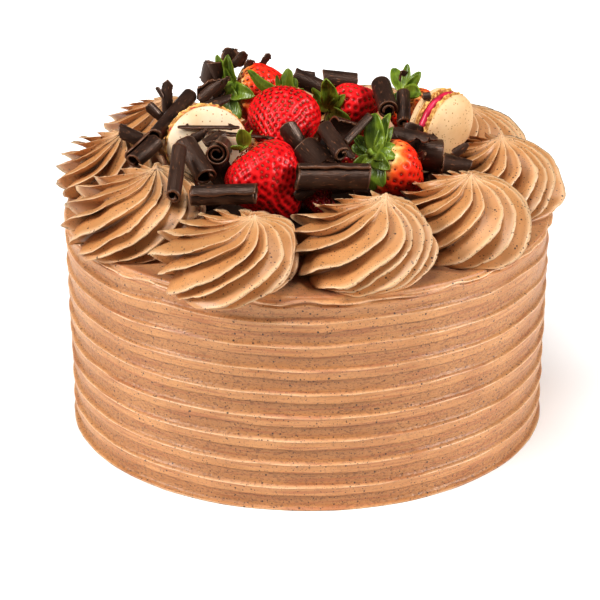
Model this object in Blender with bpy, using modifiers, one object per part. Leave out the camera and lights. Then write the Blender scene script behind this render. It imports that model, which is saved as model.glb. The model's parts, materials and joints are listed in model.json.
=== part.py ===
"""Chocolate mousse cake: a round cake with a combed cream side, ten piped rosettes round its top edge,
and a heap of strawberries, macarons and chocolate curls inside the ring.

Blender 4.5, metres, +Z up. The origin is the middle of the flat base. The front of the cake faces -Y.
"""

import math

import bmesh
import bpy
from mathutils import Matrix, Vector

MM = 0.001
GAP = 0.3 * MM  # pieces that touch keep this much air between their faces
UP = (0, 0, 1)
FRONT = (0, -1, 0)
BACK = (0, 1, 0)

# The cake: a turned body whose side is combed into level bands.
BODY_RADIUS = 100.0 * MM
BODY_FLARE = 0.9 * MM  # how much wider the cake is at its top
BODY_HEIGHT = 91.0 * MM
BODY_STEPS = 48
COMB_PITCH = 10.0 * MM
COMB_BANDS = 8
COMB_FIRST = 5.8 * MM  # height of the lowest band's lower edge
BAND_WIDTH = 4.2 * MM
GROOVE_DEPTH = 1.4 * MM
RIM_EASE = 1.2 * MM
MOUND_PROFILE = ((50, 0), (43, 2.5), (35, 4.5), (28, 8), (20, 14), (11, 18.5))  # radius, height in mm

# The rosettes: ridged swirls, each squeezed between its neighbours.
ROSETTE_COUNT = 10
ROSETTE_RIDGES = 15
ROSETTE_TWIST = math.radians(80)  # from the outer end of a ridge to the peak
ROSETTE_SIDE = 0.86  # share of the half sector that stays unsqueezed
LOW_SIDE = math.radians(-65)  # the side of each rosette on which its ridges end lowest
# Share of the rosette's radius, share of its height, how deep the valley between two ridges is there, and the
# shares of the peak's lean and of the tips' lift there.
ROSETTE_RINGS = (
    (0.82, 0.00, 0.10, 0.00, 0.00),
    (0.94, 0.08, 0.24, 0.08, 0.55),
    (1.00, 0.21, 0.30, 0.24, 1.00),
    (0.96, 0.42, 0.32, 0.51, 0.75),
    (0.81, 0.62, 0.33, 0.76, 0.48),
    (0.56, 0.80, 0.34, 0.93, 0.24),
    (0.27, 0.93, 0.34, 1.02, 0.08),
)
PEAK = (1.05, 1.10)  # the peak's place, as shares of the height and of the lean
# Angle round the cake in degrees, then in mm: distance from its axis, radius, height, the peak's lean along X
# and Y, and how much higher the ridges end on the side opposite to the low one.
ROSETTES = (
    (-112, 89, 26.5, 24.5, 12, 1, 12),
    (-76, 77, 28.0, 28.5, 9, 3, 12),
    (-40, 78, 27.5, 29.0, 4, 3, 12),
    (-4, 78.5, 26, 28.0, 2, 7, 2),
    (32, 79, 27.5, 27.0, 2, 2, 9),
    (68, 79, 27.5, 27.5, -2, -3, 12),
    (104, 79, 27.5, 28.5, 3, -2, 12),
    (140, 80, 27.0, 27.5, -1, 2, 12),
    (176, 78, 27.0, 29.0, -1, 2, 12),
    (213, 84.5, 26.0, 29.0, 11, 6, 12),
)

# Strawberries.
BERRY_SEGMENTS = 12
BERRY_RINGS = 9
BERRY_TAPER = 0.24  # how much narrower the tip half is than the shoulder half
BERRY_SHOULDER = 0.82  # how far up the shoulder reaches, as a share of half the length
BERRY_WIDEST = 0.85  # the widest that the tapered unit shape gets

# Sepals and leaves.
LEAF_THICKNESS = 0.7 * MM
SEPAL_SHARE = 0.42  # a sepal's width as a share of its length
CALYX_HUB = 2.6 * MM
CALYX_WEDGE = math.radians(14)  # half the share of the hub that a sepal grows from

# Macarons: two shells with a disc of filling between them.
SHELL_STEPS = 18
SHELL_HEIGHT = 7.6 * MM
FILLING_THICKNESS = 2.4 * MM
FILLING_SHARE = 0.92  # the filling's radius as a share of the shell's

# Chocolate: curled sheets of one thickness.
SHEET_THICKNESS = 0.9 * MM
SHEET_PITCH = 1.6 * MM  # how far a roll's sheet moves inwards in one turn
CURL_SEGMENTS = 10  # in one full turn


def in_mm(values):
    return Vector(values) * MM


def make_material(name, colour, roughness, metallic=0.0):
    material = bpy.data.materials.new(name)
    material.use_nodes = True
    shader = material.node_tree.nodes["Principled BSDF"]
    shader.inputs["Base Color"].default_value = (*colour, 1.0)
    shader.inputs["Roughness"].default_value = roughness
    shader.inputs["Metallic"].default_value = metallic
    return material


def clear_scene():
    for thing in list(bpy.data.objects):
        bpy.data.objects.remove(thing, do_unlink=True)


def new_collection(name):
    collection = bpy.data.collections.new(name)
    bpy.context.scene.collection.children.link(collection)
    return collection


def mesh_from(name, vertices, edges, faces):
    mesh = bpy.data.meshes.new(name)
    mesh.from_pydata(vertices, edges, faces)
    mesh.update()
    return mesh


def add_piece(name, mesh, material, smooth=True):
    piece = bpy.data.objects.new(name, mesh)
    mesh.materials.append(material)
    if smooth:
        mesh.shade_smooth()
    PARTS.objects.link(piece)
    return piece


def stand_along(piece, middle, axis, facing=UP):
    """Puts the piece's origin at middle, turns its Z to axis and its X as near to facing as that allows."""
    up = Vector(axis).normalized()
    ahead = (Vector(facing) - up * up.dot(Vector(facing))).normalized()
    piece.location = middle
    piece.rotation_euler = Matrix((ahead, up.cross(ahead), up)).transposed().to_euler()


def add_screw(piece, steps):
    screw = piece.modifiers.new("turned", "SCREW")
    screw.steps = steps
    screw.render_steps = steps
    screw.use_merge_vertices = True
    screw.merge_threshold = 0.01 * MM


def turned_piece(name, profile, steps, material):
    """A solid of revolution about Z. The profile runs from the axis down its outer side to the axis."""
    points = [(radius, 0.0, height) for radius, height in profile]
    edges = [(index, index + 1) for index in range(len(points) - 1)]
    piece = add_piece(name, mesh_from(name, points, edges, []), material)
    add_screw(piece, steps)
    return piece


def side_radius(height):
    return BODY_RADIUS + BODY_FLARE * height / BODY_HEIGHT


def body_profile():
    """Top middle, mound, rim, then down the combed side to the base."""
    mound = [(radius * MM, BODY_HEIGHT + rise * MM) for radius, rise in reversed(MOUND_PROFILE)]
    profile = [(0.0, mound[0][1])] + mound
    profile.append((side_radius(BODY_HEIGHT) - RIM_EASE, BODY_HEIGHT))
    profile.append((side_radius(BODY_HEIGHT), BODY_HEIGHT - RIM_EASE))
    for band in reversed(range(COMB_BANDS)):
        low = COMB_FIRST + band * COMB_PITCH
        high = low + BAND_WIDTH
        groove = low - (COMB_PITCH - BAND_WIDTH) / 2
        profile.append((side_radius(high), high))
        profile.append((side_radius(low), low))
        profile.append((side_radius(groove) - GROOVE_DEPTH, groove))
    profile.append((BODY_RADIUS, RIM_EASE))
    profile.append((BODY_RADIUS, 0.0))
    profile.append((0.0, 0.0))
    return profile


def squeeze(across, limit):
    """Presses a distance from a rosette's middle line in below limit, more the closer it comes."""
    share = abs(across) / limit
    if share > ROSETTE_SIDE:
        room = 1 - ROSETTE_SIDE
        share = ROSETTE_SIDE + room * (1 - math.exp((ROSETTE_SIDE - share) / room))
    return math.copysign(share * limit, across)


def rosette_ring(station, girth, height, distance, spin, lean, tip_lift):
    """One level of a rosette: ridge crests and valleys by turns, turned further the higher it lies."""
    share, rise, valley, lean_share, lift = station
    ring = []
    for step in range(2 * ROSETTE_RIDGES):
        angle = math.pi * step / ROSETTE_RIDGES + ROSETTE_TWIST * rise
        high_side = 0.5 - 0.5 * math.cos(angle + spin - LOW_SIDE)
        radius = girth * share * (1 - valley * (step % 2))
        outward = radius * math.cos(angle) + lean.x * lean_share
        across = radius * math.sin(angle) + lean.y * lean_share
        limit = (distance + outward) * math.tan(math.pi / ROSETTE_COUNT) - GAP
        ring.append((outward, squeeze(across, limit), height * rise + tip_lift * lift * high_side))
    return ring


def make_rosette(number, angle, distance, girth, height, lean, tip_lift, material):
    """A star-shaped swirl, lofted from its base to its peak. Its X points away from the cake's axis."""
    spin = math.radians(angle)
    turn = Matrix.Rotation(spin, 3, "Z")
    local_lean = turn.inverted() @ lean
    points = []
    for station in ROSETTE_RINGS:
        points += rosette_ring(station, girth, height, distance, spin, local_lean, tip_lift)
    peak_rise, peak_lean = PEAK
    points.append((local_lean.x * peak_lean, squeeze(local_lean.y * peak_lean, girth), height * peak_rise))
    around = 2 * ROSETTE_RIDGES
    faces = [tuple(reversed(range(around)))]
    for level in range(len(ROSETTE_RINGS) - 1):
        for step in range(around):
            here = level * around + step
            after = level * around + (step + 1) % around
            faces.append((here, after, after + around, here + around))
    last = (len(ROSETTE_RINGS) - 1) * around
    for step in range(around):
        faces.append((last + step, last + (step + 1) % around, len(points) - 1))
    name = f"rosette_{number:02d}"
    piece = add_piece(name, mesh_from(name, points, [], faces), material)
    piece.location = turn @ Vector((distance, 0, 0)) + Vector((0, 0, BODY_HEIGHT + GAP))
    piece.rotation_euler = turn.to_euler()


def berry_point(point):
    """A point of the unit sphere moved onto a unit strawberry: a narrow tip at -Z, a flat shoulder at +Z."""
    width = (1 - 2 * BERRY_TAPER * (0.5 - 0.5 * point.z) ** 1.5) / BERRY_WIDEST
    height = point.z if point.z < 0 else point.z * BERRY_SHOULDER
    return Vector((point.x * width, point.y * width, height))


def make_strawberry(name, middle, axis, length, width, material):
    """axis points from the tip to the stalk end."""
    shape = bmesh.new()
    bmesh.ops.create_uvsphere(shape, u_segments=BERRY_SEGMENTS, v_segments=BERRY_RINGS, radius=1.0)
    for vertex in shape.verts:
        point = berry_point(vertex.co)
        vertex.co = Vector((point.x * width / 2, point.y * width / 2, point.z * length / 2))
    mesh = bpy.data.meshes.new(name)
    shape.to_mesh(mesh)
    shape.free()
    stand_along(add_piece(name, mesh, material), middle, axis)


def leaf_rows(azimuth, length, rise):
    """Left, middle and right points along one wavy leaf that leaves the hub at azimuth and rises at rise."""
    out = Vector((math.cos(azimuth), math.sin(azimuth), 0))
    side = Vector((-math.sin(azimuth), math.cos(azimuth), 0))
    rows = []
    for share, width in ((0.36, 1.0), (0.70, 0.8)):
        reach = CALYX_HUB + length * share
        lift = length * share * math.tan(rise) + 0.06 * length * math.sin(9 * share)
        half = side * length * SEPAL_SHARE * width / 2
        fold = Vector((0, 0, 0.3 * half.length))
        centre = out * reach + Vector((0, 0, lift))
        rows.append((centre - half + fold, centre, centre + half + fold))
    tip = out * (CALYX_HUB + length) + Vector((0, 0, length * math.tan(rise)))
    return rows, tip


def make_calyx(name, middle, axis, leaves, material):
    """A hub with sepals, each given by its azimuth from the upper side, its length and its rise."""
    ordered = sorted(leaves)
    shape = bmesh.new()
    hub = []
    for azimuth, _, _ in ordered:
        for side in (-1, 1):
            angle = math.radians(azimuth) + side * CALYX_WEDGE
            hub.append(shape.verts.new((CALYX_HUB * math.cos(angle), CALYX_HUB * math.sin(angle), 0)))
    heart = shape.verts.new((0, 0, 0.5 * MM))
    for index, (azimuth, length, rise) in enumerate(ordered):
        left = hub[2 * index]
        right = hub[2 * index + 1]
        shape.faces.new((heart, left, right))
        shape.faces.new((heart, right, hub[(2 * index + 2) % len(hub)]))
        rows, tip = leaf_rows(math.radians(azimuth), length * MM, math.radians(rise))
        low, high = ([shape.verts.new(point) for point in row] for row in rows)
        end = shape.verts.new(tip)
        shape.faces.new((left, low[0], low[1]))
        shape.faces.new((left, low[1], right))
        shape.faces.new((right, low[1], low[2]))
        for near in (0, 1):
            shape.faces.new((low[near], high[near], high[near + 1]))
            shape.faces.new((low[near], high[near + 1], low[near + 1]))
            shape.faces.new((high[near], end, high[near + 1]))
    mesh = bpy.data.meshes.new(name)
    shape.to_mesh(mesh)
    shape.free()
    piece = add_piece(name, mesh, material)
    thicken(piece, LEAF_THICKNESS)
    stand_along(piece, middle, axis)


def thicken(piece, thickness):
    shell = piece.modifiers.new("thickness", "SOLIDIFY")
    shell.thickness = thickness
    shell.offset = 0.0
    return shell


def shell_profile(radius):
    """A macaron shell: a low dome that ends in a wider foot, flat underneath."""
    return (
        (0.0, SHELL_HEIGHT),
        (0.45 * radius, 0.95 * SHELL_HEIGHT),
        (0.80 * radius, 0.72 * SHELL_HEIGHT),
        (0.95 * radius, 0.44 * SHELL_HEIGHT),
        (radius, 0.22 * SHELL_HEIGHT),
        (0.95 * radius, 0.0),
        (0.0, 0.0),
    )


def make_macaron(name, middle, axis, radius, shell_material, filling_material):
    """axis points from the back shell to the front one."""
    outward = Vector(axis).normalized()
    half = FILLING_THICKNESS / 2
    disc = FILLING_SHARE * radius
    edge = ((0.0, half), (disc, half), (disc, -half), (0.0, -half))
    filling = turned_piece(f"{name}_filling", edge, SHELL_STEPS, filling_material)
    stand_along(filling, middle, outward)
    for side, word in ((1, "front"), (-1, "back")):
        shell = turned_piece(f"{name}_{word}_shell", shell_profile(radius), SHELL_STEPS, shell_material)
        stand_along(shell, middle + outward * side * (half + GAP), outward * side)


def make_curl(name, start, end, radius, turns, facing, material, end_radius=None):
    """A curled sheet along the line from start to end.

    One of over a turn is a roll that winds inwards from its outer edge, which is on the facing side. One of
    less is a flake that bulges towards facing, with the line through the middle of its depth.
    """
    along = end - start
    last_radius = radius if end_radius is None else end_radius
    count = max(3, round(CURL_SEGMENTS * turns))
    is_roll = turns >= 1
    depth = 0.0 if is_roll else (1 + math.cos(math.pi * turns)) / 2
    points = []
    for step in range(count + 1):
        share = step / count
        angle = 2 * math.pi * turns * (share if is_roll else share - 0.5)
        inward = SHEET_PITCH * turns * share if is_roll else 0.0
        for height, full in ((0.0, radius), (along.length, last_radius)):
            across = (full - inward) * math.cos(angle) - full * depth
            points.append((across, (full - inward) * math.sin(angle), height))
    faces = [(2 * step, 2 * step + 2, 2 * step + 3, 2 * step + 1) for step in range(count)]
    piece = add_piece(name, mesh_from(name, points, [], faces), material)
    shell = thicken(piece, SHEET_THICKNESS)
    shell.offset = -1.0
    stand_along(piece, start, along, facing)


# Each strawberry: its middle, its axis from tip to stalk, its length and width, all in mm, and its colour.
STRAWBERRIES = (
    ("strawberry_front", (-18, -30, 112), (-0.60, 0.30, 0.74), 36, 31, "berry"),
    ("strawberry_middle", (-10, 8, 124), (0.10, 0.88, 0.30), 33, 31, "berry"),
    ("strawberry_top", (-19, 38, 126.5), (-0.96, -0.15, 0.20), 30, 24, "pale_berry"),
    ("strawberry_right", (20, 24, 125.5), (-0.93, -0.30, -0.10), 24, 20, "berry"),
    ("strawberry_right_front", (36, -17, 110.7), (-0.72, -0.30, 0.63), 29, 24, "pale_berry"),
    ("strawberry_far_right", (46, 27, 120.5), (-0.45, -0.10, 0.85), 26, 21, "pale_berry"),
    ("strawberry_low_front", (5, -33, 105), (-0.30, 0.70, 0.60), 17, 14, "berry"),
    ("strawberry_inner", (24, 1, 112), (0.90, 0.20, 0.10), 24, 16, "berry"),
    ("strawberry_back_left", (-20, 38, 105), (0.20, -0.75, 0.60), 22, 20, "berry"),
    ("strawberry_back_right", (20, 33, 106), (-0.20, -0.75, 0.60), 22, 19, "berry"),
)

# Each calyx: the strawberry it sits on, and its sepals as azimuth, length and rise, in mm and degrees.
CALYXES = (
    ("calyx_front", "strawberry_front", ((326, 10.8, 25), (272, 5, 20), (40, 6, 30), (130, 6, 20))),
    (
        "calyx_middle",
        "strawberry_middle",
        ((5, 12.5, 20), (54, 7, 15), (120, 7, 20), (200, 7, 20), (312, 20, 10)),
    ),
    ("calyx_top", "strawberry_top", ((347, 14, 20), (28, 9, 15), (110, 8, 20), (237, 8, 15), (286, 12, 10))),
    (
        "calyx_right",
        "strawberry_right",
        ((335, 14, 20), (22, 9, 15), (68, 10, 30), (136, 10, 15), (215, 6, 15), (292, 8, 25)),
    ),
    (
        "calyx_right_front",
        "strawberry_right_front",
        (
            (43, 16.5, 20),
            (93, 11.5, 20),
            (151, 9, 15),
            (200, 9, 0),
            (249, 12, 0),
            (295, 8, 25),
            (338, 15, 30),
        ),
    ),
    (
        "calyx_far_right",
        "strawberry_far_right",
        ((11, 10, 25), (52, 11, 25), (93, 12, 15), (200, 7, 10), (294, 11.5, 5)),
    ),
)

# Each macaron: its middle in mm, its axis, and its radius in mm.
MACARONS = (
    ("macaron_left", (-41.6, -0.4, 116), (0.165, -0.970, 0.176), 17.2),
    ("macaron_right", (55.2, 5.5, 123.1), (0.75, -0.63, -0.15), 15.0),
)

# Each piece of chocolate: the ends of its line in mm, its radius in mm (and the radius at the far end),
# the turns of the sheet, and the side that it faces.
CHOCOLATE = (
    ("roll_long_left", (-50.2, 29.5, 128.2), (-63.2, -4, 121.2), (3.5,), 1.3, BACK),
    ("roll_open_left", (-62, -6.5, 120.5), (-70.5, -19, 116), (4.6,), 1.4, (-1, 0, 1)),
    ("shard_upright", (-58.7, 22.5, 137.3), (-58.7, 20.8, 119), (4.0,), 0.2, FRONT),
    ("shard_left", (-66.5, 15, 129), (-60, 15, 122), (2.4,), 0.45, (-0.5, -0.5, 1)),
    ("curl_arch_left", (-77.5, -3, 124.5), (-67.5, -3, 119.5), (3.6,), 0.45, (0, -0.5, 1)),
    ("shard_dark_left", (-46.5, 30, 126), (-35, 33, 131.5), (5.5,), 0.35, (0, 1, -0.4)),
    ("curl_cone_top", (-39, 38, 140.5), (-37, 38, 130.5), (4.6, 3.0), 0.6, (-0.6, -1, 0)),
    ("flake_top", (-33, 43.5, 144), (-29.5, 43.5, 136), (4.6, 3.4), 0.45, (0, 1, 0.3)),
    ("stick_upper", (-53, -9, 127.2), (-27.5, -9.5, 127.2), (2.0,), 0.2, (0, -0.3, 1)),
    ("stick_lower", (-38.5, -9, 125), (-13, -11, 123), (2.0,), 0.2, (0, -0.3, 1)),
    ("roll_end_on", (-36.5, -30, 122.5), (-35.5, -19, 120.5), (5.2,), 1.5, UP),
    ("roll_middle_left", (-49.5, -22, 124.5), (-40.5, -38, 115.5), (5.0,), 1.3, BACK),
    ("roll_brown", (-51, -37, 127.5), (-52.5, -58, 115), (3.7,), 1.2, BACK),
    ("roll_low_front", (-45.5, -54, 113.5), (-20, -53, 114), (4.8,), 0.85, (0, 1, -0.5)),
    ("flake_matte", (-9, -20, 132.5), (-2, -22, 121.5), (4.4,), 0.35, (0.2, -1, 0.3)),
    ("cone_plate", (-2.5, -28.5, 126.4), (6, -32.5, 118.6), (6.4, 8.0), 0.4, (0.3, -1, 0.5)),
    ("roll_leaning", (6.5, -20, 130.2), (13.5, -36, 124.2), (3.7,), 1.2, (1, 0, 0.5)),
    ("flake_dark_open", (9, -4, 126.5), (20.5, -4, 122.5), (6.0,), 0.5, (0, 1, 0.4)),
    ("roll_thin_right", (15, -24, 125), (25.5, -14, 133), (2.5,), 1.0, BACK),
    ("roll_big_front", (-4.5, -42, 117), (24.5, -42, 117), (6.0,), 1.4, (0, -0.6, 1)),
    ("roll_tall_right", (30.4, 22, 135.2), (33, 6, 129.2), (4.6,), 1.5, (1, 0, -0.5)),
    ("roll_right", (39.6, 17.5, 133), (39.4, 4, 124), (3.4,), 1.0, (1, 0, -0.5)),
    ("roll_back", (-6, 33, 135.5), (6.5, 29, 130), (3.8,), 1.2, BACK),
    ("curl_back", (6.5, 35, 134.3), (21.5, 34.7, 131.9), (4.5,), 0.45, (0, 0.6, 1)),
    ("plate_right", (34.5, -9, 125.5), (52.5, -18, 124.5), (5.0,), 0.25, (0, -0.5, 1)),
    ("curl_dark_right", (47.5, -14, 116), (54.5, -14, 115.5), (6.6,), 0.5, (0, -1, 0.3)),
    ("cone_right", (54.5, -15.5, 113.8), (66.5, -15.5, 112.8), (5.2, 2.4), 0.6, (0, -0.8, 0.8)),
)

clear_scene()
PARTS = new_collection("chocolate_mousse_cake")
MATERIALS = {
    "cream": make_material("mousse_cream", (0.56, 0.31, 0.16), 0.55),
    "berry": make_material("strawberry_red", (0.70, 0.02, 0.03), 0.30),
    "pale_berry": make_material("strawberry_orange_red", (0.78, 0.10, 0.04), 0.32),
    "leaf": make_material("leaf_green", (0.10, 0.26, 0.02), 0.45),
    "shell": make_material("macaron_shell", (0.86, 0.68, 0.42), 0.70),
    "filling": make_material("macaron_filling", (0.60, 0.03, 0.10), 0.45),
    "chocolate": make_material("dark_chocolate", (0.045, 0.022, 0.016), 0.40),
}

turned_piece("cake_body", body_profile(), BODY_STEPS, MATERIALS["cream"])

for number, (angle, distance, girth, height, lean_x, lean_y, lift) in enumerate(ROSETTES, start=1):
    lean = in_mm((lean_x, lean_y, 0))
    sizes = (distance * MM, girth * MM, height * MM)
    make_rosette(number, angle, *sizes, lean, lift * MM, MATERIALS["cream"])

stalk_ends = {}
for name, middle, axis, length, width, colour in STRAWBERRIES:
    direction = Vector(axis).normalized()
    make_strawberry(name, in_mm(middle), direction, length * MM, width * MM, MATERIALS[colour])
    shoulder = BERRY_SHOULDER * length * MM / 2 + LEAF_THICKNESS / 2 + GAP
    stalk_ends[name] = (in_mm(middle) + direction * shoulder, direction)

for name, berry, leaves in CALYXES:
    middle, direction = stalk_ends[berry]
    make_calyx(name, middle, direction, leaves, MATERIALS["leaf"])

for name, middle, axis, radius in MACARONS:
    make_macaron(name, in_mm(middle), axis, radius * MM, MATERIALS["shell"], MATERIALS["filling"])

for name, start, end, radii, turns, facing in CHOCOLATE:
    first, last = radii[0] * MM, radii[-1] * MM
    make_curl(name, in_mm(start), in_mm(end), first, turns, facing, MATERIALS["chocolate"], last)
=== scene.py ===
"""Looks of the chocolate mousse cake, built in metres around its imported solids."""

import itertools
import json
import math

import bpy
import numpy as np
from mathutils import Matrix, Vector


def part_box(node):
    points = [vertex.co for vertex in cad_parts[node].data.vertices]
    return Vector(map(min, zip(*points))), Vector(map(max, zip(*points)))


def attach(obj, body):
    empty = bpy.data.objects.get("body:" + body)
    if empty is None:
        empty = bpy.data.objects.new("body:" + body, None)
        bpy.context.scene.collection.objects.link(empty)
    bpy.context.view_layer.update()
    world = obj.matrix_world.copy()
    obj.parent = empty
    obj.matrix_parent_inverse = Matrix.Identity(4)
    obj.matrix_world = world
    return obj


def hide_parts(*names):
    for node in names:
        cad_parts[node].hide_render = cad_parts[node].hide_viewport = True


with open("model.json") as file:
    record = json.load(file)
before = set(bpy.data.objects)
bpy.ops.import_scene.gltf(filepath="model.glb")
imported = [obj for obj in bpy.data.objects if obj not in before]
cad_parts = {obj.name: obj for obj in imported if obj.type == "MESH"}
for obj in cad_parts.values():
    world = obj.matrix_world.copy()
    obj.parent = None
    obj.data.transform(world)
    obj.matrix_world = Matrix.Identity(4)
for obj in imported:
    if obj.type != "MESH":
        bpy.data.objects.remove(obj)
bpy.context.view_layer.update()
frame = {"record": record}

MM = 0.001
UP = (0, 0, 1)
FRONT = (0, -1, 0)
BACK = (0, 1, 0)

# Camera: the photograph's view, in millimetres and degrees.
CAMERA_TARGET = (-3.07, 0.0, 46.55)
CAMERA_DISTANCE = 890.0
CAMERA_ELEVATION = math.radians(23.2)
CAMERA_LENS = 125.4
SENSOR_WIDTH = 36.0
VIEW_GAMMA = 0.82  # below 1 deepens the shadows, as in the photograph

# The cake's body.
BODY_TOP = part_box("rosette_02")[0].z / MM - 0.3
BODY_RADIUS = 100.0
BODY_FLARE = 0.9
BODY_COLUMNS = 360
COMB_PITCH = 10.0
COMB_FIRST = 5.8
COMB_BANDS = 8
# Height within one pitch, from the lower edge of the raised band, and how far the side stands out there.
COMB_PROFILE = (
    (0.0, -1.3), (0.25, -0.45), (0.5, 0.06), (0.9, -0.12), (1.6, -0.02), (2.4, -0.12), (3.2, 0.0),
    (3.7, -0.04), (4.05, 0.4), (4.35, 0.16), (4.65, -0.7), (5.1, -1.25), (6.0, -1.45), (7.6, -1.5),
    (9.2, -1.45), (9.8, -1.4),
)
BAND_CREST, BAND_END = 4.1, 5.1  # heights within one pitch
COMB_DEPTH = 1.25
MERGING_FROM, MERGING_OVER = 45, 35  # the upper bands merge and wave
TEAR_LEVEL = 82.5  # a thin tear runs round the side here
LIP = BODY_TOP - 2.4
RIM_EASE, RIM_ROWS = 1.4, 7
MOUND_ROWS = 36
HEAP_SHADE_EDGE, HEAP_SHADE_FADE = 55.0, 2.5  # the painted shade under the heap ends here
MOUND = ((0, 18.5), (11, 18.5), (20, 14), (28, 8), (35, 4.5), (43, 2.5), (50, 0), (60, 0))

# Rosettes: a star nozzle's fins wind from the foot to the peak.
ROSETTE_COUNT = 10
ROSETTE_FINS = 15
FIN_COLUMNS = 14
ROSETTE_ROWS = 72
ROSETTE_TWIST = math.radians(80)
ROSETTE_SIDE = 0.9
VALLEY_DEPTH = 0.46
FOOT_SWEEP = math.radians(20)
# The fins' tips stand highest on the side opposite to this one, where the piping ended.
LOW_SIDE = math.radians(-65)
TIP_LIFT = 12.0
FIN_HOOK = 0.15  # radians that a crest bends ahead of its valleys
FIN_JITTER = math.radians(4)
ROSETTE_SINK = 0.4
NEIGHBOUR_OVERLAP = 1.5
OVERHANG_SAG = 0.3
ROSETTE_SEED, BERRY_SEED, FLAKE_SEED = 100, 300, 700
# Share of the height, with the shares there of the radius, of the peak's lean and of the tips' lift.
ROSETTE_STATIONS = (
    (0.00, 0.74, 0.00, 0.15), (0.06, 0.86, 0.06, 0.45), (0.14, 0.97, 0.15, 0.85), (0.24, 1.00, 0.28, 1.00),
    (0.36, 0.985, 0.43, 0.85), (0.48, 0.925, 0.59, 0.66), (0.6, 0.83, 0.74, 0.5), (0.72, 0.69, 0.86, 0.35),
    (0.82, 0.52, 0.94, 0.22), (0.9, 0.35, 1.00, 0.12), (0.96, 0.19, 1.04, 0.05), (1.00, 0.085, 1.08, 0.0),
    (1.035, 0.04, 1.12, 0.0), (1.06, 0.012, 1.15, 0.0),
)
# Angle round the cake, distance from its axis, radius, height, the peak's lean along X and Y and how far the
# fins' tips flare as a share of the radius, in mm and degrees.
ROSETTES = (
    (-112, 89, 26.5, 24.5, 12, 1, 0.12),
    (-76, 77, 28, 28.5, 9, 3, 0.12),
    (-40, 78, 27.5, 29, 4, 3, 0.12),
    (-4, 78, 26.5, 28, 2, 7, 0.1),
    (32, 79, 27.5, 27, 2, 2, 0.1),
    (68, 79, 27.5, 27.5, -2, -3, 0.1),
    (104, 79, 27.5, 28.5, 3, -2, 0.1),
    (140, 80, 27, 27.5, -1, 2, 0.04),
    (178.5, 77.5, 27, 29, 0, 2, 0.02),
    (212, 84.5, 26.5, 29, 11, 6, 0.05),
)


def clamp(values):
    return np.clip(values, 0, 1)


def bell(distance, width):
    """1 where the distance is 0, fading out over the width."""
    return np.exp(-((distance / width) ** 2))


def unit(vectors):
    return vectors / (np.linalg.norm(vectors, axis=-1, keepdims=True) + 1e-12)


def noise(points, seed):
    """Smooth noise from -1 to 1 at each point of an array whose unit is the size of one bump."""
    points = np.asarray(points, float)
    cell = np.floor(points).astype(np.int64)
    part = points - cell
    part = part * part * (3 - 2 * part)
    total = np.zeros(points.shape[:-1])
    for corner in itertools.product((0, 1), repeat=3):
        x, y, z = (cell[..., axis] + corner[axis] for axis in range(3))
        mixed = (x * 73856093) ^ (y * 19349663) ^ (z * 83492791) ^ ((seed + 1) * 40503)
        mixed = ((mixed ^ (mixed >> 15)) * 2246822519) & 0xFFFFFFFF
        mixed = ((mixed ^ (mixed >> 13)) * 3266489917) & 0xFFFFFFFF
        value = ((mixed ^ (mixed >> 16)) & 0xFFFF) / 32767.5 - 1
        weight = 1.0
        for axis in range(3):
            weight = weight * (part[..., axis] if corner[axis] else 1 - part[..., axis])
        total += weight * value
    return total


def smooth_curve(points, count):
    """Count points along a smooth curve through the given ones, spaced evenly by their number."""
    knots = np.asarray(points, float)
    padded = np.vstack([2 * knots[0] - knots[1], knots, 2 * knots[-1] - knots[-2]])
    place = np.linspace(0, len(knots) - 1, count)
    index = np.minimum(place.astype(int), len(knots) - 2)
    t = (place - index)[:, None]
    a, b, c, d = (padded[index + shift] for shift in range(4))
    return 0.5 * (2 * b + (c - a) * t + (2 * a - 5 * b + 4 * c - d) * t**2 + (3 * b - a - 3 * c + d) * t**3)


def circle(count):
    return np.linspace(0, 2 * np.pi, count, endpoint=False)


def polar_points(radius, angle, height):
    """Points round the Z axis."""
    radius, angle, height = np.broadcast_arrays(radius, angle, height)
    return np.stack([radius * np.cos(angle), radius * np.sin(angle), height], -1)


def spun(x, y, z, degrees):
    """Points turned about the Z axis."""
    spin = math.radians(degrees)
    return np.stack([x * math.cos(spin) - y * math.sin(spin), x * math.sin(spin) + y * math.cos(spin), z], -1)


def grid_faces(rows, columns, wrap=True):
    """Quads between neighbouring rows of a grid of points; wrap joins the last column to the first."""
    row, column = np.meshgrid(np.arange(rows - 1), np.arange(columns if wrap else columns - 1), indexing="ij")
    after = (column + 1) % columns
    corners = (row * columns + column, row * columns + after, (row + 1) * columns + after,
               (row + 1) * columns + column)
    return np.stack(corners, -1).reshape(-1, 4).tolist()


def closed_grid(points, first, last, flip=False):
    """Points and faces of rows of rings, whose first and last ring are closed by a fan to one point each."""
    rows, columns = points.shape[:2]
    count = rows * columns
    faces = grid_faces(rows, columns)
    for start, apex, way in ((0, count, -1), (count - columns, count + 1, 1)):
        faces += [(start + i, start + (i + 1) % columns, apex)[::way] for i in range(columns)]
    faces = [face[::-1] for face in faces] if flip else faces
    return np.vstack([points.reshape(-1, 3), first, last]), faces


def joined(parts):
    """One mesh of several parts, each its points, its faces and a dictionary of numbers for its points."""
    points, faces, numbers, start = [], [], {key: [] for key in parts[0][2]}, 0
    for some, corners, values in parts:
        points.append(some)
        faces += [tuple(start + corner for corner in face) for face in corners]
        start += len(some)
        for key, value in values.items():
            numbers[key].append(np.ravel(value))
    return np.vstack(points), faces, {key: np.concatenate(values) for key, values in numbers.items()}


def add_object(name, data):
    thing = bpy.data.objects.new(name, data)
    bpy.context.scene.collection.objects.link(thing)
    return thing


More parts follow.
